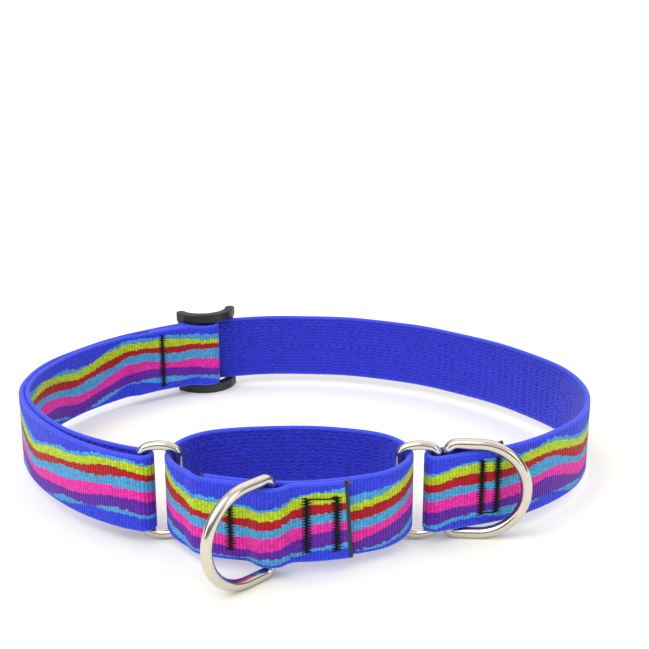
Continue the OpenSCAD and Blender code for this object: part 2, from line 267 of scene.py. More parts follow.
bulge_len = bulge[0] * radians(bulge[1])
bulge_k = 2 * TUNNEL_HALF / outer_r / (4 * bulge_len)
bulge_path = [
    bend(bulge_len, 1 / bulge[0] - bulge_k),
    bend(2 * bulge_len, -1 / bulge[0] - bulge_k),
    bend(bulge_len, 1 / bulge[0] - bulge_k),
]


def flat_heading(u):
    return degrees(asin(u / front_flat_r))


def on_flat(u, d):
    h = flat_heading(u)
    rise = front_flat_r * (cosd(front_flat_turn) - cosd(h))
    return beside((loop_mid_x + front_flat_r * sind(h), flat_start[1] + rise, h), -d)


def flat_run(u1, u2, d):
    return [(-(front_flat_r + d), -(flat_heading(u2) - flat_heading(u1)))]


leash_dee_at = on_flat(LEASH_DEE_U, WEB_T / 2 + SEAM + DEE_WIRE / 2)
tag_dee_at = step(right_fold, (0.2 + (RING_WIRE + DEE_WIRE) / 2 + SEAM + 0.1, 0))


# ---------------------------------------------------------------- shader helpers
def linear(rgb):
    """sRGB, 0 to 255, as a linear RGBA tuple."""
    out = []
    for c in rgb:
        c /= 255
        out.append(c / 12.92 if c <= 0.04045 else ((c + 0.055) / 1.055) ** 2.4)
    return (*out, 1.0)


class Shader:
    """A material's node tree with short calls for the nodes that this scene uses."""

    def __init__(self, name):
        self.material = bpy.data.materials.new(name)
        self.material.use_nodes = True
        self.tree = self.material.node_tree
        self.bsdf = self.tree.nodes["Principled BSDF"]

    def node(self, kind, **props):
        n = self.tree.nodes.new(kind)
        for key, value in props.items():
            setattr(n, key, value)
        return n

    def put(self, value, socket):
        if isinstance(value, bpy.types.NodeSocket):
            self.tree.links.new(value, socket)
        else:
            socket.default_value = value

    def math(self, operation, *values, clamp=False):
        n = self.node("ShaderNodeMath", operation=operation, use_clamp=clamp)
        for i, value in enumerate(values):
            self.put(value, n.inputs[i])
        return n.outputs[0]

    def mix(self, fac, a, b, blend_type="MIX"):
        n = self.node("ShaderNodeMix", data_type="RGBA", blend_type=blend_type)
        self.put(fac, n.inputs[0])
        self.put(a, n.inputs[6])
        self.put(b, n.inputs[7])
        return n.outputs[2]

    def noise(self, w, scale, detail=2.0):
        """1-D noise, centred on 0, about -1 to 1."""
        n = self.node("ShaderNodeTexNoise", noise_dimensions="1D")
        self.put(w, n.inputs["W"])
        n.inputs["Scale"].default_value = scale
        n.inputs["Detail"].default_value = detail
        return self.math("MULTIPLY_ADD", n.outputs["Fac"], 4.0, -2.0)

    def noise3(self, vector, scale, detail=3.0):
        n = self.node("ShaderNodeTexNoise")
        self.put(vector, n.inputs["Vector"])
        n.inputs["Scale"].default_value = scale
        n.inputs["Detail"].default_value = detail
        return n.outputs["Fac"]

    def white(self, x, y):
        """White noise of two numbers, 0 to 1."""
        joined = self.node("ShaderNodeCombineXYZ")
        self.put(x, joined.inputs[0])
        self.put(y, joined.inputs[1])
        n = self.node("ShaderNodeTexWhiteNoise", noise_dimensions="2D")
        self.tree.links.new(joined.outputs[0], n.inputs["Vector"])
        return n.outputs["Value"]

    def along_across(self):
        """Millimetres along the webbing and up its width, from the UV map."""
        uv = self.node("ShaderNodeUVMap", uv_map="webbing")
        parts = self.node("ShaderNodeSeparateXYZ")
        self.tree.links.new(uv.outputs[0], parts.inputs[0])
        return (
            self.math("MULTIPLY", parts.outputs[0], 1000.0),
            self.math("MULTIPLY", parts.outputs[1], 1000.0),
        )

    def object_vector(self):
        return self.node("ShaderNodeTexCoord").outputs["Object"]

    def ramp(self, value, low, high):
        n = self.node("ShaderNodeMapRange", interpolation_type="SMOOTHSTEP")
        self.put(value, n.inputs["Value"])
        n.inputs["From Min"].default_value = low
        n.inputs["From Max"].default_value = high
        return n.outputs["Result"]

    def bump(self, height, distance, strength=1.0):
        n = self.node("ShaderNodeBump")
        n.inputs["Strength"].default_value = strength
        n.inputs["Distance"].default_value = distance
        self.put(height, n.inputs["Height"])
        self.tree.links.new(n.outputs[0], self.bsdf.inputs["Normal"])

    def set(self, **values):
        for key, value in values.items():
            self.put(value, self.bsdf.inputs[key.replace("_", " ")])
        return self


BLUE = linear((46, 62, 226))
BLUE_EDGE_HIGHLIGHT = linear((62, 86, 240))
BLUE_INSIDE = linear((36, 48, 230))
BLUE_GROOVE_SHADE = linear((14, 14, 146))
SKY = linear((72, 160, 216))
LIME = linear((182, 208, 26))
CRIMSON = linear((176, 0, 26))
PINK = linear((232, 40, 166))
PURPLE = linear((94, 30, 168))


def rib_height(sh, u, v):
    """Height of the weave, 0 to 1: ribs across the webbing, cut into stitches."""
    column = sh.math("FLOOR", sh.math("DIVIDE", u, RIB))
    phase = sh.math("FRACT", sh.math("DIVIDE", u, RIB))
    rib = sh.math("SINE", sh.math("MULTIPLY", phase, pi))
    shift = sh.math("MULTIPLY", sh.math("MODULO", sh.math("ABSOLUTE", column), 2.0), 0.5)
    row = sh.math("ADD", sh.math("DIVIDE", v, 0.66), shift)
    stitch = sh.math("SINE", sh.math("MULTIPLY", sh.math("FRACT", row), pi))
    return sh.math("MULTIPLY", rib, sh.math("MULTIPLY_ADD", stitch, 0.65, 0.35)), column, row


def pattern_material():
    """Outer face: wavy woven colour bands, with painted shade in the grooves between the ribs."""
    sh = Shader("webbing_pattern")
    u, v = sh.along_across()
    height, column, row = rib_height(sh, u, v)
    stepped_u = sh.math("MULTIPLY", column, RIB)
    jag = sh.math("MULTIPLY_ADD", sh.white(column, 3.0), 0.016, -0.008)
    jag2 = sh.math("MULTIPLY_ADD", sh.white(column, sh.math("FLOOR", row)), 0.016, -0.008)
    down = sh.math("SUBTRACT", 1.0, sh.math("DIVIDE", v, WEB_W))
    long_wave = sh.math("SINE", sh.math("MULTIPLY_ADD", stepped_u, 2 * pi / 83, 0.9))
    short_wave = sh.math("SINE", sh.math("MULTIPLY_ADD", stepped_u, 2 * pi / 37, 2.1))
    slow = sh.math("MULTIPLY", long_wave, 0.075)
    wave = sh.math("ADD", slow, sh.math("MULTIPLY", short_wave, 0.022))
    sway = sh.math("MULTIPLY", sh.noise(stepped_u, 1 / 38, 0.0), 0.055)
    ragged = sh.math("ADD", sway, sh.math("ADD", jag, jag2))
    place = sh.math("ADD", sh.math("ADD", down, wave), ragged)
    bands = [
        (0.155, SKY, 0.040, 11.3),
        (0.205, LIME, 0.032, 27.1),
        (0.320, CRIMSON, 0.026, 41.9),
        (0.425, SKY, 0.030, 55.7),
        (0.560, PINK, 0.030, 73.3),
        (0.700, PURPLE, 0.032, 88.9),
        (0.845, SKY, 0.038, 103.1),
        (0.905, BLUE, 0.040, 121.7),
    ]
    colour = BLUE
    for edge, band, amount, seed in bands:
        drift = sh.noise(sh.math("ADD", stepped_u, seed * 10), 1 / 24, 0.6)
        own = sh.math("MULTIPLY", drift, amount)
        inside = sh.math("GREATER_THAN", sh.math("ADD", place, own), edge)
        colour = sh.mix(inside, colour, band)
    edge_band = sh.math("GREATER_THAN", sh.math("ABSOLUTE", sh.math("SUBTRACT", down, 0.5)), 0.452)
    colour = sh.mix(edge_band, colour, BLUE)
    # Painted shade: the colour is darkened in the grooves between the ribs, and each thread is also
    # flecked lighter or darker at random.
    thread = sh.math("MULTIPLY_ADD", sh.white(column, sh.math("FLOOR", row)), 0.36, 0.82)
    shade = sh.math("MULTIPLY", thread, sh.math("MULTIPLY_ADD", height, 0.42, 0.70))
    grey = sh.node("ShaderNodeCombineColor")
    for i in range(3):
        sh.put(shade, grey.inputs[i])
    colour = sh.mix(1.0, colour, grey.outputs[0], "MULTIPLY")
    sh.put(colour, sh.bsdf.inputs["Base Color"])
    sh.put(sh.math("MULTIPLY_ADD", height, -0.14, 0.66), sh.bsdf.inputs["Roughness"])
    fibre = sh.noise3(sh.object_vector(), 2600.0, 2.0)
    sh.bump(sh.math("MULTIPLY_ADD", fibre, 0.18, height), 0.00022, 0.85)
    return sh.set(Sheen_Weight=0.10, Sheen_Roughness=0.4, Specular_IOR_Level=0.25).material


def inside_material():
    """Inner face: plain blue with wavy twill rows, and painted shade in the grooves between them.
    """
    sh = Shader("webbing_inside")
    u, v = sh.along_across()
    drift_up = sh.math("MULTIPLY", sh.noise(v, 0.6), 0.9)
    drift = sh.math("ADD", drift_up, sh.math("MULTIPLY", sh.noise(u, 0.35), 0.5))
    zigzag = sh.math("PINGPONG", sh.math("ADD", u, drift), 1.6)
    slanted = sh.math("ADD", u, sh.math("MULTIPLY", v, 3.1))
    waver = sh.math("MULTIPLY", sh.noise(slanted, 0.45), 0.12)
    lean = sh.math("MULTIPLY_ADD", zigzag, 0.40, waver)
    row = sh.math("DIVIDE", sh.math("ADD", v, lean), 1.35)
    phase = sh.math("FRACT", row)
    ridge = sh.math("SINE", sh.math("MULTIPLY", phase, pi))
    cell = sh.white(sh.math("FLOOR", row), sh.math("FLOOR", sh.math("DIVIDE", u, 1.75)))
    strand = sh.math("SINE", sh.math("MULTIPLY", sh.math("FRACT", sh.math("DIVIDE", u, 0.58)), pi))
    height = sh.math("MULTIPLY", ridge, sh.math("MULTIPLY_ADD", strand, 0.25, 0.75))
    # Painted shade: the grooves between the twill rows are darkened to a deep blue, the ridges keep
    # the lighter blue, and the cell noise varies the tone at random.
    lift = sh.math("MULTIPLY", sh.math("MULTIPLY_ADD", cell, 0.40, 0.70), sh.ramp(height, 0.0, 0.8))
    colour = sh.mix(lift, BLUE_GROOVE_SHADE, BLUE_INSIDE)
    selvedge = sh.ramp(sh.math("ABSOLUTE", sh.math("SUBTRACT", v, WEB_W / 2)), 11.4, 11.9)
    colour = sh.mix(selvedge, colour, BLUE)
    sh.put(colour, sh.bsdf.inputs["Base Color"])
    sh.put(sh.math("MULTIPLY_ADD", height, -0.12, 0.68), sh.bsdf.inputs["Roughness"])
    fibre = sh.noise3(sh.object_vector(), 2400.0, 2.0)
    sh.bump(sh.math("MULTIPLY_ADD", fibre, 0.15, height), 0.0004, 0.9)
    return sh.set(Sheen_Weight=0.22, Sheen_Roughness=0.4, Specular_IOR_Level=0.35).material


def selvedge_material():
    """Woven edge: blue loops with a painted highlight on their crests."""
    sh = Shader("webbing_selvedge")
    u, v = sh.along_across()
    slant = sh.math("DIVIDE", sh.math("ADD", u, sh.math("MULTIPLY", v, 0.7)), RIB)
    loop = sh.math("SINE", sh.math("MULTIPLY", sh.math("FRACT", slant), pi))
    tint = sh.math("MULTIPLY_ADD", sh.white(sh.math("FLOOR", slant), 1.0), 0.3, 0.5)
    # Painted highlight: each loop is lighter on its crest and darker between loops, with a random
    # tint from loop to loop.
    colour = sh.mix(sh.math("MULTIPLY", loop, tint), BLUE, BLUE_EDGE_HIGHLIGHT)
    sh.put(colour, sh.bsdf.inputs["Base Color"])
    sh.put(sh.math("MULTIPLY_ADD", loop, -0.1, 0.66), sh.bsdf.inputs["Roughness"])
    fibre = sh.noise3(sh.object_vector(), 2600.0, 2.0)
    sh.bump(sh.math("MULTIPLY_ADD", fibre, 0.2, loop), 0.00018, 0.8)
    return sh.set(Sheen_Weight=0.25, Sheen_Roughness=0.4, Specular_IOR_Level=0.35).material


def sealed_material():
    """Cut end: nylon melted to a dark, slightly glossy bead."""
    sh = Shader("webbing_sealed_end")
    grain = sh.noise3(sh.object_vector(), 1500.0, 4.0)
    sh.put(sh.mix(grain, linear((9, 8, 22)), linear((24, 23, 72))), sh.bsdf.inputs["Base Color"])
    sh.put(sh.math("MULTIPLY_ADD", grain, 0.3, 0.25), sh.bsdf.inputs["Roughness"])
    sh.bump(grain, 0.00015, 0.7)
    return sh.set(Specular_IOR_Level=0.5).material


def steel_material():
    """Bright nickel-plated wire with fine polishing marks and a few scuffs."""
    sh = Shader("nickel_wire")
    place = sh.object_vector()
    haze = sh.noise3(place, 260.0, 4.0)
    scuff = sh.ramp(sh.noise3(place, 1400.0, 5.0), 0.60, 0.78)
    tone = sh.mix(haze, linear((196, 190, 178)), linear((216, 210, 199)))
    sh.put(sh.mix(scuff, tone, linear((168, 161, 149))), sh.bsdf.inputs["Base Color"])
    rough = sh.math("MULTIPLY_ADD", haze, 0.08, 0.11)
    sh.put(sh.math("MULTIPLY_ADD", scuff, 0.12, rough), sh.bsdf.inputs["Roughness"])
    sh.bump(sh.noise3(place, 900.0, 3.0), 0.00002, 0.35)
    return sh.set(Metallic=1.0).material


def fray_material():
    """Loose filaments at the cut end, scorched by the hot knife."""
    sh = Shader("scorched_filament")
    grain = sh.noise3(sh.object_vector(), 1800.0, 3.0)
    tone = sh.mix(grain, linear((84, 70, 90)), linear((150, 128, 120)))
    sh.put(tone, sh.bsdf.inputs["Base Color"])
    sh.put(sh.math("MULTIPLY_ADD", grain, 0.2, 0.5), sh.bsdf.inputs["Roughness"])
    sh.bump(grain, 0.00004, 0.5)
    return sh.set(Specular_IOR_Level=0.3).material


def thread_material():
    """Black bonded thread with its twist."""
    sh = Shader("bartack_thread")
    place = sh.object_vector()
    wave = sh.node("ShaderNodeTexWave", wave_type="BANDS", bands_direction="DIAGONAL")
    sh.put(place, wave.inputs["Vector"])
    wave.inputs["Scale"].default_value = 900.0
    wave.inputs["Distortion"].default_value = 1.5
    sh.put(sh.mix(wave.outputs["Fac"], linear((5, 5, 7)), linear((22, 22, 26))),
           sh.bsdf.inputs["Base Color"])
    rough = sh.math("MULTIPLY_ADD", sh.noise3(place, 3000.0), 0.2, 0.45)
    sh.put(rough, sh.bsdf.inputs["Roughness"])
    sh.bump(wave.outputs["Fac"], 0.00008, 0.8)
    return sh.set(Sheen_Weight=0.03, Sheen_Roughness=0.4, Specular_IOR_Level=0.2).material


def plastic_material():
    """Black moulded acetal with a fine spark-eroded texture, rubbed smoother where it rides."""
    sh = Shader("slider_acetal")
    place = sh.object_vector()
    grain = sh.noise3(place, 2200.0, 3.0)
    rub = sh.ramp(sh.noise3(place, 180.0, 3.0), 0.42, 0.66)
    sh.put(sh.mix(rub, linear((24, 24, 26)), linear((40, 40, 43))), sh.bsdf.inputs["Base Color"])
    sh.put(sh.math("MULTIPLY_ADD", rub, -0.14, 0.46), sh.bsdf.inputs["Roughness"])
    sh.bump(grain, 0.00006, 0.55)
    return sh.set(Specular_IOR_Level=0.5).material


PATTERN = pattern_material()
INSIDE = inside_material()
SELVEDGE = selvedge_material()
THREAD_FRAY = fray_material()
SEALED = sealed_material()
STEEL = steel_material()
THREAD = thread_material()
PLASTIC = plastic_material()


# ---------------------------------------------------------------- meshes
def make_mesh(name, verts, faces, materials, material_index=None, uvs=None):
    mesh = bpy.data.meshes.new(name)
    mesh.from_pydata((np.asarray(verts) * MM).tolist(), [], faces)
    for m in materials:
        mesh.materials.append(m)
    if material_index is not None:
        mesh.polygons.foreach_set("material_index", np.asarray(material_index, dtype=np.int32))
    if uvs is not None:
        layer = mesh.uv_layers.new(name="webbing")
        layer.data.foreach_set("uv", np.asarray(uvs, dtype=np.float32).ravel())
    mesh.polygons.foreach_set("use_smooth", [True] * len(mesh.polygons))
    mesh.update()
    obj = bpy.data.objects.new(name, mesh)
    bpy.context.scene.collection.objects.link(obj)
    return obj


FACE_COLUMNS = 27
EDGE_POINTS = 5
EDGE_R = 0.8
PATTERN_RIPPLE = 0.075
INSIDE_RIPPLE = 0.055
EDGE_RIPPLE = 0.07
SEAL_LENGTH = 0.9
SEALED_ROWS = 5
CUT_LEAN = 0.07
CUT_LEAN_LENGTH = 14


def web_profile():
    """Points round the webbing's section: (across, up, region).

    The regions are 0 left face, 1 upper edge, 2 right face and 3 lower edge.
    """
    half_t, half_w = WEB_T / 2, WEB_W / 2
    levels = np.linspace(-half_w + EDGE_R, half_w - EDGE_R, FACE_COLUMNS)
    points = [(half_t, z, 0) for z in levels]
    for i in range(1, EDGE_POINTS + 1):
        a = pi * i / (EDGE_POINTS + 1)
        points.append((half_t * cos(a), half_w - EDGE_R + EDGE_R * sin(a), 1))
    points += [(-half_t, z, 2) for z in reversed(levels)]
    for i in range(1, EDGE_POINTS + 1):
        a = pi * i / (EDGE_POINTS + 1)
        points.append((-half_t * cos(a), -half_w + EDGE_R - EDGE_R * sin(a), 3))
    return points


PROFILE = web_profile()


def webbing(
    name, start, runs, pattern_side, u0=0.0, u_sign=1, sealed=(False, False), raise_by=None
):
    """Woven strap along runs, each a (start pose, segments) pair; returns it and its last u.

    pattern_side is 'left' or 'right' of the heading. u0 and u_sign carry the pattern on from one
    strap to the next. sealed marks a melted end at the start and at the end. raise_by lifts the
    strap by a function of the distance along it and of its length.
    """
    pitch = RIB / 4
    poses = [start]
    for at, segs in runs:
        poses += sample(at, segs, pitch)
    p = np.array(poses)
    gaps = np.hypot(np.diff(p[:, 0]), np.diff(p[:, 1]))
    keep = np.concatenate([[True], gaps > 0.02])
    p = p[keep]
    s = np.concatenate([[0], np.cumsum(np.hypot(np.diff(p[:, 0]), np.diff(p[:, 1])))])
    u = u0 + u_sign * s
    n, m = len(p), len(PROFILE)
    across = np.array([q[0] for q in PROFILE])
    up = np.array([q[1] for q in PROFILE])
    region = np.array([q[2] for q in PROFILE])
    heading = np.radians(p[:, 2])
    left = np.stack([-np.sin(heading), np.cos(heading)], axis=1)

    rib = np.abs(np.sin(pi * u / RIB))
    column = np.arange(m) % 2
    shifted = np.abs(np.sin(pi * (u[:, None] / RIB + 0.5 * column[None, :])))
    is_face = (region == 0) | (region == 2)
    pattern_region = 0 if pattern_side == "left" else 2
    ripple = np.where(
        region[None, :] == pattern_region, PATTERN_RIPPLE * (rib[:, None] - 0.6),
        np.where(is_face[None, :], INSIDE_RIPPLE * (shifted - 0.6), 0.0),
    )
    d = across[None, :] + np.sign(across)[None, :] * ripple
    edge_ripple = np.where(is_face[None, :], 0, EDGE_RIPPLE * (rib[:, None] - 0.5))
    z = up[None, :] + np.sign(up)[None, :] * edge_ripple
    waver = 0.10 * np.sin(u / 13.0 + 0.7) + 0.07 * np.sin(u / 5.3)
    z = z + waver[:, None]
    if raise_by is not None:
        z = z + raise_by(s, s[-1])[:, None]
    lean = np.zeros_like(z)
    for from_end, is_sealed in zip((s, s[-1] - s), sealed):
        if is_sealed:
            t = np.sqrt(1 - (1 - np.clip(from_end / SEAL_LENGTH, 0, 1)) ** 2)
            d = d * (0.45 + 0.55 * t + 0.10 * np.sin(t * pi))[:, None]
            near = np.clip(1 - from_end / CUT_LEAN_LENGTH, 0, 1)[:, None] ** 2
            lean = lean + near * CUT_LEAN * -up[None, :]
    x = p[:, 0][:, None] + d * left[:, 0][:, None] + lean * left[:, 1][:, None]
    y = p[:, 1][:, None] + d * left[:, 1][:, None] - lean * left[:, 0][:, None]
    verts = np.stack([x, y, z + MID_Z], axis=2).reshape(-1, 3)

    faces, material_index, uvs = [], [], []
    v_at = up + WEB_W / 2
    for k in range(n - 1):
        cut = (sealed[0] and k < SEALED_ROWS) or (sealed[1] and k >= n - 1 - SEALED_ROWS)
        for i in range(m):
            j = (i + 1) % m
            faces.append((k * m + i, k * m + j, (k + 1) * m + j, (k + 1) * m + i))
            kind = region[i] if region[i] == region[j] else max(region[i] % 2, region[j] % 2)
            if cut:
                material_index.append(3)
            elif kind in (1, 3):
                material_index.append(2)
            else:
                material_index.append(0 if kind == pattern_region else 1)
            vi, vj = v_at[i], v_at[j]
            if kind in (1, 3):
                vi, vj = vi + across[i], vj + across[j]
            a, b = u[k] * MM, u[k + 1] * MM
            uvs += [(a, vi * MM), (a, vj * MM), (b, vj * MM), (b, vi * MM)]
    faces.append(tuple(reversed(range(m))))
    faces.append(tuple((n - 1) * m + i for i in range(m)))
    for end, k in ((0, 0), (1, n - 1)):
        material_index.append(3 if sealed[end] else 2)
        order = reversed(range(m)) if end == 0 else range(m)
        uvs += [((u[k] + across[i]) * MM, v_at[i] * MM) for i in order]
    obj = make_mesh(name, verts, faces, [PATTERN, INSIDE, SELVEDGE, SEALED], material_index, uvs)
    return obj, float(u[-1])


def tube(name, points, radius, material, closed=False, sides=12):
    """Round wire or thread through points, in millimetres."""
    p = np.asarray(points, float)
    n = len(p)
    if closed:
        tangent = np.roll(p, -1, axis=0) - np.roll(p, 1, axis=0)
    else:
        tangent = np.gradient(p, axis=0)
    tangent /= np.linalg.norm(tangent, axis=1)[:, None]
    normal = np.zeros_like(p)
    seed = np.array([0.0, 0.0, 1.0]) if abs(tangent[0][2]) < 0.9 else np.array([1.0, 0.0, 0.0])
    normal[0] = np.cross(tangent[0], np.cross(seed, tangent[0]))
    normal[0] /= np.linalg.norm(normal[0])
    for i in range(1, n):
        v = normal[i - 1] - tangent[i] * np.dot(normal[i - 1], tangent[i])
        normal[i] = v / np.linalg.norm(v)
    binormal = np.cross(tangent, normal)
    if closed:
        last = normal[-1] - tangent[0] * np.dot(normal[-1], tangent[0])
        twist = np.arctan2(np.dot(last, binormal[0]), np.dot(last, normal[0]))
        turn = -twist * np.arange(n) / n
        normal, binormal = (
            normal * np.cos(turn)[:, None] + binormal * np.sin(turn)[:, None],
            binormal * np.cos(turn)[:, None] - normal * np.sin(turn)[:, None],
        )
    angle = np.linspace(0, 2 * pi, sides, endpoint=False)
    ring = np.cos(angle)[None, :, None] * normal[:, None, :]
    ring = ring + np.sin(angle)[None, :, None] * binormal[:, None, :]
    verts = (p[:, None, :] + radius * ring).reshape(-1, 3)
    faces = []
    for k in range(n if closed else n - 1):
        following = (k + 1) % n
        for i in range(sides):
            j = (i + 1) % sides
            a, b = k * sides, following * sides
            faces.append((a + i, b + i, b + j, a + j))
    if not closed:
        faces.append(tuple(range(sides)))
        faces.append(tuple(reversed([(n - 1) * sides + i for i in range(sides)])))
        faces = [tuple(reversed(f)) for f in faces]
    else:
        faces = [tuple(reversed(f)) for f in faces]
    return make_mesh(name, verts, faces, [material])


def join(name, objs):
    bpy.ops.object.select_all(action="DESELECT")
    for o in objs:
        o.select_set(True)
    bpy.context.view_layer.objects.active = objs[0]
    if len(objs) > 1:
        bpy.ops.object.join()
    objs[0].name = name
    objs[0].data.name = name
    return objs[0]


def arc_points(centre, r, start, turn, n):
    return [
        (centre[0] + r * cosd(start + turn * i / n), centre[1] + r * sind(start + turn * i / n))
        for i in range(n + 1)
    ]


# ---------------------------------------------------------------- camera, stage and lights
# The floor is a little warm, against the blue that the webbing throws on it.
FLOOR_HALF = 6.0
FLOOR_WHITE = (1.0, 1.0, 0.92, 1)
CAMERA_LENS = 69.34
CAMERA_PLACE = (0.0075, -0.4022, 0.18415)
CAMERA_DOWN = 17.87


def build_camera():
    camera = bpy.data.cameras.new("camera")
    camera.lens = CAMERA_LENS
    camera.sensor_width = 36
    camera.clip_start = 0.01
    obj = bpy.data.objects.new("camera", camera)
    obj.location = CAMERA_PLACE
    obj.rotation_euler = (radians(90 - CAMERA_DOWN), 0, 0)
    bpy.context.scene.collection.objects.link(obj)
    bpy.context.scene.camera = obj


def build_stage():
    mesh = bpy.data.meshes.new("floor")
    a, b = -FLOOR_HALF, FLOOR_HALF
    corners = [(a, a, 0), (b, a, 0), (b, b, 0), (a, b, 0)]
    mesh.from_pydata(corners, [], [(0, 1, 2, 3)])
    floor = bpy.data.objects.new("floor", mesh)
    bpy.context.scene.collection.objects.link(floor)
    sh = Shader("floor_white")
    sh.set(Base_Color=FLOOR_WHITE, Roughness=0.9, Specular_IOR_Level=0.1)
    mesh.materials.append(sh.material)


def area_light(name, place, size, power, colour=(1, 1, 1)):
    """Rectangular light that faces the collar."""
    light = bpy.data.lights.new(name, "AREA")
    light.shape = "RECTANGLE"
    light.size, light.size_y = size
    light.energy = power
    light.color = colour
    obj = bpy.data.objects.new(name, light)
    obj.location = place
    direction = Vector((0, 0, 0.02)) - Vector(place)
    obj.rotation_euler = direction.to_track_quat("-Z", "Y").to_euler()
    bpy.context.scene.collection.objects.link(obj)


def sun_light(name, towards, power, softness):
    light = bpy.data.lights.new(name, "SUN")
    light.energy = power
    light.angle = radians(softness)
    obj = bpy.data.objects.new(name, light)
    obj.rotation_euler = Vector(towards).to_track_quat("Z", "Y").to_euler()
    bpy.context.scene.collection.objects.link(obj)


def build_world():
    """White to the eye, and a soft sky with a darker band low down for the nickel to mirror."""
    world = bpy.data.worlds.new("studio")
    world.use_nodes = True
    nodes, links = world.node_tree.nodes, world.node_tree.links
    place = nodes.new("ShaderNodeTexCoord")
    parts = nodes.new("ShaderNodeSeparateXYZ")
    ramp = nodes.new("ShaderNodeValToRGB")
    links.new(place.outputs["Generated"], parts.inputs[0])
    links.new(parts.outputs[2], ramp.inputs[0])
    links.new(ramp.outputs[0], nodes["Background"].inputs[0])
    stops = [(0.0, 0.55), (0.12, 0.16), (0.30, 0.30), (0.52, 1.0), (1.0, 1.0)]
    elements = ramp.color_ramp.elements
    elements[0].position, elements[1].position = stops[0][0], stops[-1][0]
    for position, _ in stops[1:-1]:
        elements.new(position)
    for element, (_, value) in zip(elements, stops):
        element.color = (value, value * 0.985, value * 0.96, 1)
    nodes["Background"].inputs[1].default_value = 0.95
    backdrop = nodes.new("ShaderNodeBackground")
    backdrop.inputs[0].default_value = (1, 1, 1, 1)
    rays = nodes.new("ShaderNodeLightPath")
    pick = nodes.new("ShaderNodeMixShader")
    links.new(rays.outputs["Is Camera Ray"], pick.inputs[0])
    links.new(nodes["Background"].outputs[0], pick.inputs[1])
    links.new(backdrop.outputs[0], pick.inputs[2])
    links.new(pick.outputs[0], nodes["World Output"].inputs[0])
    bpy.context.scene.world = world
    bpy.context.scene.view_settings.view_transform = "Standard"


def build_lights():
    sun_light("sun_key", (-0.45, -0.55, 1.0), 1.1, 55)
    sun_light("sun_back", (0.35, 0.75, 1.0), 0.5, 70)
    area_light("strip_left", (-0.70, -0.45, 0.35), (0.25, 0.6), 1.2, (1, 0.985, 0.96))
    area_light("strip_right", (0.75, -0.50, 0.30), (0.25, 0.5), 0.9)


# ---------------------------------------------------------------- webbing pieces
# The pieces of the back meet behind the slider.
# The loose end of the tag ring's fold rises over the last of its length.
TAIL_RISE = 0.9
TAIL_RISE_LENGTH = 12
# Where the control loop starts on the pattern.
LOOP_PATTERN_U = 431.0


def tail_rise(s, end):
    return TAIL_RISE * np.clip((s - end + TAIL_RISE_LENGTH) / TAIL_RISE_LENGTH, 0, 1) ** 2


def build_neck_strap():
    split = on_arc(SLIDER_HEADING, 0)
    rest_of_arc = (arc_r, SLIDER_HEADING - (arc_start[2] - back[1][1]))
    runs = [
        (split, [rest_of_arc] + back[2:]),
        ((*RIGHT_TIP, -90), turned(right_outer)),
        (reversed_pose(right_outer_start), [(FOLD_R, 180)]),
        (right_inner_start, right_inner),
    ]
    right, _ = webbing(
        "neck_webbing_right", split, runs, "left", u_sign=-1, sealed=(False, True),
        raise_by=tail_rise,
    )
    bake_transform(right)
    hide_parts("right_strap", "neck_strap")

    start = reversed_pose(split)
    arc_back = [(-arc_r, -(arc_start[2] - SLIDER_HEADING)), (-BACK_FIRST[0], -BACK_FIRST[1])]
    inner_end = beside(arc_start, -PLY)
    runs = [
        (start, arc_back),
        ((*LEFT_TIP, -90), turned(left_outer)),
        (reversed_pose(left_outer_start), [(-FOLD_R, -180)]),
        (left_inner_start, left_inner),
        ((LEFT_TIP[0] + PLY, LEFT_TIP[1], 90), [(BACK_FIRST[0] - PLY, BACK_FIRST[1])]),
    ]
    left, u_left = webbing("neck_webbing_left", start, runs, "right")
    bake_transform(left)
    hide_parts("left_strap")

    turn = arc_start[2] - sewn_end_heading
    runs = [
        (inner_end, [(arc_r - PLY, turn)]),
        (on_arc(sewn_end_heading, PLY), turned(sewn_path)),
        (reversed_pose(sewn_start), [(-sewn_r, -180)]),
        (reversed_pose(on_arc(SLIDER_HEADING, PLY)), [(-(arc_r - PLY), -arc_turn(TAIL_LEN, PLY))]),
    ]
    sewn, _ = webbing(
        "slider_webbing_sewn", inner_end, runs, "right", u0=u_left, sealed=(False, True)
    )
    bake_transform(sewn)
    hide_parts("inner_ply", "slider_webbing")


def build_control_loop():
    left_end = flat_heading(LEASH_DEE_U) - degrees(TUNNEL_HALF / outer_r)
    bulge_u = front_flat_r * sind(left_end)
    after_u = 2 * LEASH_DEE_U - bulge_u
    runs = [
        (flat_start, front[1:]),
        (end_of(front_start, front), tip_wrap + lens(BACK_TIP, BACK_TURN, BACK_R) + tip_wrap),
        (front_start, left_corner),
        (beside(flat_start, -PLY), flat_run(-front_flat_r * sind(front_flat_turn), bulge_u, PLY)),
        (on_flat(bulge_u, PLY), bulge_path),
        (on_flat(after_u, PLY), flat_run(after_u, CUT_END_U, PLY)),
    ]
    loop, _ = webbing(
        "control_loop_webbing", flat_start, runs, "right", u0=LOOP_PATTERN_U, sealed=(True, True)
    )
    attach(loop, "control_loop")
    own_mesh(loop)
    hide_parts("control_loop")

    corner = beside(on_flat(CUT_END_U - 0.4, PLY), -WEB_T / 2)
    top = MID_Z + WEB_W / 2
    for i, (height, lean) in enumerate(((1.5, -1.5), (1.0, 0.7))):
        curl = [
            (
                corner[0] + lean * t,
                corner[1] - 0.45 * sind(150 * t),
                top - 0.8 + height * sind(125 * t),
            )
            for t in (k / 12 for k in range(13))
        ]
        fray = tube(f"loop_end_fray_{i + 1}", curl, 0.13, THREAD_FRAY, sides=8)
        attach(fray, "control_loop")
        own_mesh(fray)


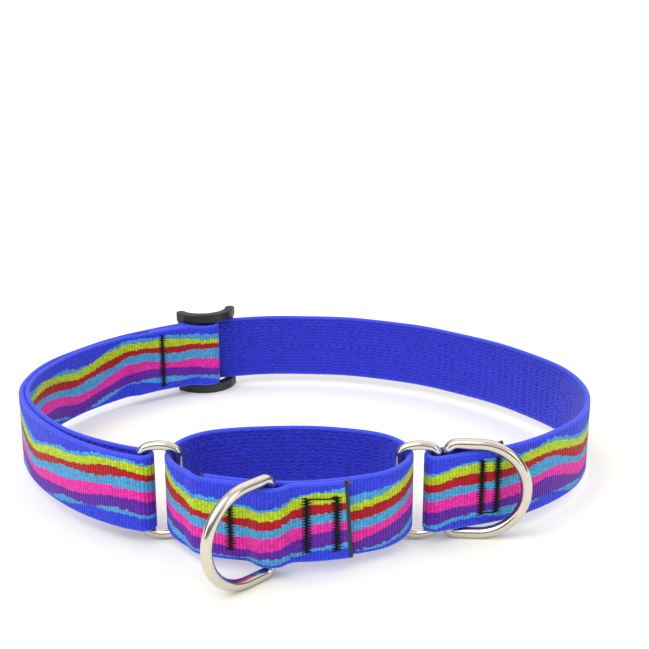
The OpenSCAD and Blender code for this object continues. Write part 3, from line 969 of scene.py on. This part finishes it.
# ---------------------------------------------------------------- wire
def wire_outline(corners, n=14):
    """Closed outline in X and Z from (centre, radius, start angle, turn) corners."""
    points = []
    for centre, r, start, turn in corners:
        points += arc_points(centre, r, start, turn, n)
    dense = []
    for i, a in enumerate(points):
        b = points[(i + 1) % len(points)]
        gap = sqrt((b[0] - a[0]) ** 2 + (b[1] - a[1]) ** 2)
        if gap < 1e-6:
            continue
        k = max(1, ceil(gap / 1.5))
        dense += [(a[0] + (b[0] - a[0]) * i2 / k, a[1] + (b[1] - a[1]) * i2 / k) for i2 in range(k)]
    return dense


def build_ring(name, x, body, node):
    arch_z = (RING_H - RING_WIRE) / 2 - RING_ARCH
    cx = BAR_X - RING_CORNER
    half_arch = degrees(asin(cx / (RING_ARCH - RING_CORNER)))
    cz = arch_z + (RING_ARCH - RING_CORNER) * cosd(half_arch)
    turn = 90 - half_arch
    corners = [
        ((cx, cz), RING_CORNER, 0, turn),
        ((0, arch_z), RING_ARCH, 90 - half_arch, 2 * half_arch),
        ((-cx, cz), RING_CORNER, 90 + half_arch, turn),
        ((-cx, -cz), RING_CORNER, 180, turn),
        ((0, -arch_z), RING_ARCH, 270 - half_arch, 2 * half_arch),
        ((cx, -cz), RING_CORNER, 270 + half_arch, turn),
    ]
    points = [(x + px, RING_LINE_Y, MID_Z + pz) for px, pz in wire_outline(corners)]
    ring = tube(name, points, RING_WIRE / 2, STEEL, closed=True, sides=28)
    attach(ring, body)
    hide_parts(node)


def build_dee(name, at, turn, body, node):
    half_h = (DEE_H - DEE_WIRE) / 2
    fz = half_h - DEE_CORNER
    corners = [
        ((DEE_CORNER, fz), DEE_CORNER, 90, 90),
        ((DEE_CORNER, -fz), DEE_CORNER, 180, 90),
    ]
    outline = []
    outline += arc_points((DEE_REACH, 0), half_h, -90, 180, 44)
    outline += [(DEE_REACH - (DEE_REACH - DEE_CORNER) * i / 5, half_h) for i in range(1, 5)]
    outline += arc_points(*corners[0], 12)
    outline += [(0, fz - 2 * fz * i / 18) for i in range(1, 18)]
    outline += arc_points(*corners[1], 12)
    outline += [(DEE_CORNER + (DEE_REACH - DEE_CORNER) * i / 5, -half_h) for i in range(1, 5)]
    c, s = cosd(turn), sind(turn)
    points = [(at[0] + px * c, at[1] + px * s, MID_Z + pz) for px, pz in outline]
    dee = tube(name, points, DEE_WIRE / 2, STEEL, closed=True, sides=28)
    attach(dee, body)
    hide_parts(node)


# ---------------------------------------------------------------- slider
def ribbon_solid(name, poses, width, z0, height, material):
    left = [beside(s, width / 2)[:2] for s in poses]
    right = [beside(s, -width / 2)[:2] for s in poses]
    outline = left + right[::-1]
    n = len(outline)
    verts = [(x, y, z0) for x, y in outline] + [(x, y, z0 + height) for x, y in outline]
    faces = [(i, (i + 1) % n, n + (i + 1) % n, n + i) for i in range(n)]
    k = len(poses)
    for i in range(k - 1):
        faces.append((i, i + 1, n - 2 - i, n - 1 - i))
        faces.append((n + i, 2 * n - 1 - i, 2 * n - 2 - i, n + i + 1))
    return make_mesh(name, verts, faces, [material])


def build_slider():
    sag = arc_r - sqrt(arc_r * arc_r - SLIDER_HALF * SLIDER_HALF)
    outer_y = WEB_T / 2 + SEAM + OUTER_BAR_R - sag + 0.1
    bow = outer_y + bar_d
    rail_r = (SLIDER_HALF**2 + bow**2) / (2 * bow)
    rail_turn = degrees(asin(SLIDER_HALF / rail_r))
    rail_h = (SLIDER_H - WEB_W) / 2 - SEAM
    base = MID_Z - SLIDER_H / 2
    at = on_arc(SLIDER_HEADING, 0)

    def local(x, y):
        return (at[0] + x * cosd(SLIDER_HEADING) - y * sind(SLIDER_HEADING),
                at[1] + x * sind(SLIDER_HEADING) + y * cosd(SLIDER_HEADING))

    parts = []
    for i, z in enumerate((base, base + SLIDER_H - rail_h)):
        start = (*local(-SLIDER_HALF, outer_y), SLIDER_HEADING - rail_turn)
        poses = [start] + sample(start, [(-rail_r, -2 * rail_turn)], 0.6)
        parts.append(ribbon_solid(f"rail{i}", poses, RAIL_W, z, rail_h, PLASTIC))
        for j, x in enumerate((-SLIDER_HALF, SLIDER_HALF)):
            px, py = local(x, outer_y)
            ends = [(px, py, z), (px, py, z + rail_h)]
            parts.append(tube(f"boss{i}{j}", ends, BOSS_R, PLASTIC, sides=32))
    bars = [
        (-SLIDER_HALF, outer_y, OUTER_BAR_R),
        (0, -bar_d, CENTRE_BAR_R),
        (SLIDER_HALF, outer_y, OUTER_BAR_R),
    ]
    for i, (x, y, r) in enumerate(bars):
        px, py = local(x, y)
        ends = [(px, py, base + 0.5), (px, py, base + SLIDER_H - 0.5)]
        parts.append(tube(f"bar{i}", ends, r, PLASTIC, sides=32))
    slider = join("slider_frame_moulded", parts)
    remesh = slider.modifiers.new("union", "REMESH")
    remesh.mode = "VOXEL"
    remesh.voxel_size = 0.00030
    smooth = slider.modifiers.new("fillet", "SMOOTH")
    smooth.factor = 0.5
    smooth.iterations = 7
    bpy.context.view_layer.objects.active = slider
    for m in list(slider.modifiers):
        bpy.ops.object.modifier_apply(modifier=m.name)
    slider.data.polygons.foreach_set("use_smooth", [True] * len(slider.data.polygons))
    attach(slider, "slider")
    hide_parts("slider_frame")


# ---------------------------------------------------------------- stitching
THREAD_R = 0.17
ZIGZAG_PITCH = 0.92
ZIGZAG_REACH = 1.4
TAG_TACK_S = (13.8, 19.2)
TAG_TACK_Z = (MID_Z - 9, MID_Z + 9.4)
LOOP_TACK_U = (-16.2, 5.4, 13.9)
LOOP_TACK_Z = (MID_Z - 9.4, MID_Z + 8.2)
SLIDER_TACK_LEN = 21.5
SLIDER_TACK_Z = (MID_Z - 10.8, MID_Z + 10.8)


def zigzag_thread(name, s, z0, z1, offset, side):
    """Dense zigzag bartack with two stay threads under it, on one face."""
    x, y, h = beside(s, offset)
    along_x, along_y = cosd(h), sind(h)
    out_x, out_y = -sind(h) * side, cosd(h) * side
    turns = int(round((z1 - z0) / ZIGZAG_PITCH)) * 2
    points = []
    for i in range(turns + 1):
        level = z0 + (z1 - z0) * i / turns
        reach = ZIGZAG_REACH * (1 if i % 2 else -1) * (1 + rng.uniform(-0.16, 0.16))
        for t, up in ((0.0, 0.05), (0.5, 0.20)):
            a = reach * (1 - 1.96 * t)
            z = level + (z1 - z0) / turns * t
            if z <= z1 + 0.3:
                points.append((x + along_x * a + out_x * up, y + along_y * a + out_y * up, z))
    zig = tube(name + "_zig", points, THREAD_R, THREAD, sides=8)
    stays = []
    for k in (-0.22, 0.22):
        line = [
            (x + along_x * (k + rng.uniform(-0.05, 0.05)) + out_x * 0.02,
             y + along_y * (k + rng.uniform(-0.05, 0.05)) + out_y * 0.02,
             z0 + (z1 - z0) * i / 10)
            for i in range(11)
        ]
        stays.append(tube(name + "_stay", line, THREAD_R * 1.25, THREAD, sides=8))
    return [zig] + stays


def running_row(name, s1, s2, z, offset, side):
    """Row of short stitches from one bartack to the next, dipping into the webbing."""
    a, b = beside(s1, offset), beside(s2, offset)
    h = (s1[2] + s2[2]) / 2
    out_x, out_y = -sind(h) * side, cosd(h) * side
    n = 26
    points = []
    for i in range(n + 1):
        t = i / n
        lift = 0.14 + 0.10 * abs(sin(pi * t * 4))
        wander = 0.12 * sin(7 * t)
        points.append((a[0] + (b[0] - a[0]) * t + out_x * lift,
                       a[1] + (b[1] - a[1]) * t + out_y * lift, z + wander))
    return tube(name, points, THREAD_R * 1.3, THREAD, sides=8)


def stitch_piece(name, threads, body, node, squash=False):
    piece = join(name, threads)
    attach(piece, body)
    if squash:
        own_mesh(piece)
    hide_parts(node)


def right_outer_at(d):
    if d <= RIGHT_LEAD:
        return step(right_outer_start, (d, 0))
    lead = end_of(right_outer_start, right_outer[:1])
    return step(lead, (right_outer[1][0], degrees((d - RIGHT_LEAD) / right_outer[1][0])))


def build_stitching():
    half = WEB_T / 2 + 0.05
    for i, d in enumerate(TAG_TACK_S):
        at = right_outer_at(d)
        threads = zigzag_thread(f"tag_tack{i}", at, *TAG_TACK_Z, -half, -1)
        threads += zigzag_thread(f"tag_tack_in{i}", at, *TAG_TACK_Z, PLY + half, 1)
        stitch_piece(f"tag_bartack_thread_{i + 1}", threads, "right_side", f"tag_bartack_{i + 1}")
    ends = [right_outer_at(d) for d in TAG_TACK_S]
    row = [running_row("row", *ends, TAG_TACK_Z[0] + 0.4, -half, -1)]
    stitch_piece("tag_bartack_thread_link", row, "right_side", "tag_bartack_link")

    for i, u in enumerate(LOOP_TACK_U):
        at, number = on_flat(u, PLY), i + 1
        threads = zigzag_thread(f"loop_tack{i}", at, *LOOP_TACK_Z, -half, -1)
        threads += zigzag_thread(f"loop_tack_in{i}", at, *LOOP_TACK_Z, PLY + half, 1)
        node = f"loop_bartack_{number}"
        stitch_piece(f"loop_bartack_thread_{number}", threads, "control_loop", node, True)
    ends = [on_flat(u, PLY) for u in LOOP_TACK_U[1:]]
    row = [running_row("row", *ends, LOOP_TACK_Z[1] - 0.4, -half, -1)]
    stitch_piece("loop_bartack_thread_link", row, "control_loop", "loop_bartack_link", True)

    at = on_arc(SLIDER_HEADING + arc_turn(SLIDER_TACK_LEN, PLY), 2 * PLY)
    threads = zigzag_thread("slider_tack", at, *SLIDER_TACK_Z, -half, -1)
    stitch_piece("slider_bartack_thread", threads, "slider", "slider_bartack")


build_camera()
build_stage()
build_world()
build_lights()
build_neck_strap()
build_control_loop()
build_ring("left_ring_wire", RING_LEFT_X, "left_ring", "left_ring")
build_ring("right_ring_wire", RING_RIGHT_X, "right_ring", "right_ring")
build_dee("tag_dee_wire", tag_dee_at, TAG_DEE_TURN, "tag_dee", "tag_dee")
build_dee("leash_dee_wire", leash_dee_at, LEASH_DEE_TURN, "leash_dee", "leash_dee")
build_slider()
build_stitching()

bpy.context.view_layer.update()
